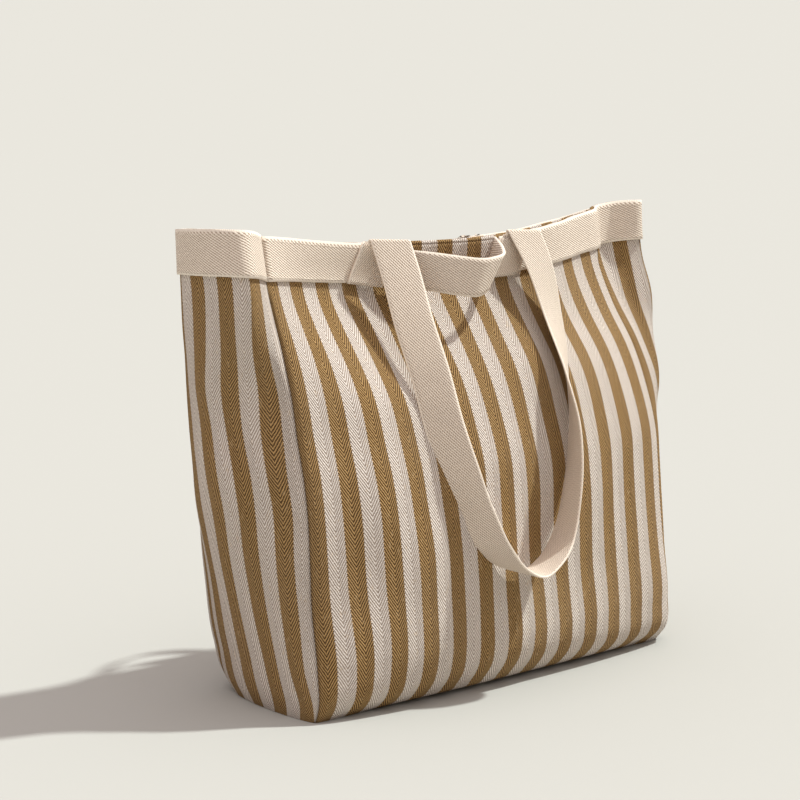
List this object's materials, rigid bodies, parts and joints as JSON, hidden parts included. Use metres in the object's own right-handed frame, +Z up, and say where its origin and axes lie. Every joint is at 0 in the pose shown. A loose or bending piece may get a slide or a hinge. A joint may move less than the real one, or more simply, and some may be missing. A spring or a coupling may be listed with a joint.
{
  "type": "tote bag",
  "caption": "Open-topped striped canvas tote bag that stands on a flat boxed base, with a webbing rim band, hanging shoulder straps and short grab handles.",
  "frame": {"origin": "on the floor at the middle of the base, where the bag stands", "axes": "+X along the bag's width to its right-hand gusset, -Y out of the front panel, +Z up towards the open rim"},
  "size_m": [0.4306, 0.257, 0.3688],
  "materials": {
    "striped_canvas": "heavy herringbone cotton with 15 mm ochre and off-white stripes, matte",
    "webbing": "undyed cream cotton webbing with a raised diagonal weave, matte",
    "binding": "plain cotton seam binding, matte",
    "thread": "off-white cotton sewing thread"
  },
  "bodies": {
    "bag": {"back_hem": "striped_canvas", "back_left_seam_binding": "binding", "back_left_strap_end": "webbing", "back_left_strap_tacks": "thread", "back_panel": "striped_canvas", "back_right_seam_binding": "binding", "back_right_strap_end": "webbing", "back_right_strap_tacks": "thread", "base_panel": "striped_canvas", "base_seam_binding": "binding", "front_hem": "striped_canvas", "front_left_seam_binding": "binding", "front_left_strap_end": "webbing", "front_left_strap_tacks": "thread", "front_panel": "striped_canvas", "front_right_seam_binding": "binding", "front_right_strap_end": "webbing", "front_right_strap_tacks": "thread", "left_gusset": "striped_canvas", "left_hem": "striped_canvas", "left_rim_band": "webbing", "left_rim_band_stitching": "thread", "right_gusset": "striped_canvas", "right_hem": "striped_canvas", "right_rim_band": "webbing", "right_rim_band_stitching": "thread"},
    "front_shoulder_strap": {"front_shoulder_strap": "webbing"},
    "back_shoulder_strap": {"back_shoulder_strap": "webbing"},
    "front_grab_handle": {"front_grab_handle": "webbing"},
    "back_grab_handle": {"back_grab_handle": "webbing"}
  },
  "joints": [
    {"name": "front_strap_swing", "type": "hinge", "parent": "bag", "child": "front_shoulder_strap", "pos_m": [0, -0.0135, 0.366], "axis": [-1, 0, 0], "range_deg": [0, 165]},
    {"name": "back_strap_swing", "type": "hinge", "parent": "bag", "child": "back_shoulder_strap", "pos_m": [0, 0.076, 0.366], "axis": [1, 0, 0], "range_deg": [0, 165]},
    {"name": "front_grab_swing", "type": "hinge", "parent": "bag", "child": "front_grab_handle", "pos_m": [0, -0.0183, 0.3665], "axis": [-1, 0, 0], "range_deg": [0, 130]},
    {"name": "back_grab_swing", "type": "hinge", "parent": "bag", "child": "back_grab_handle", "pos_m": [0, 0.0793, 0.3665], "axis": [1, 0, 0], "range_deg": [0, 130]}
  ]
}
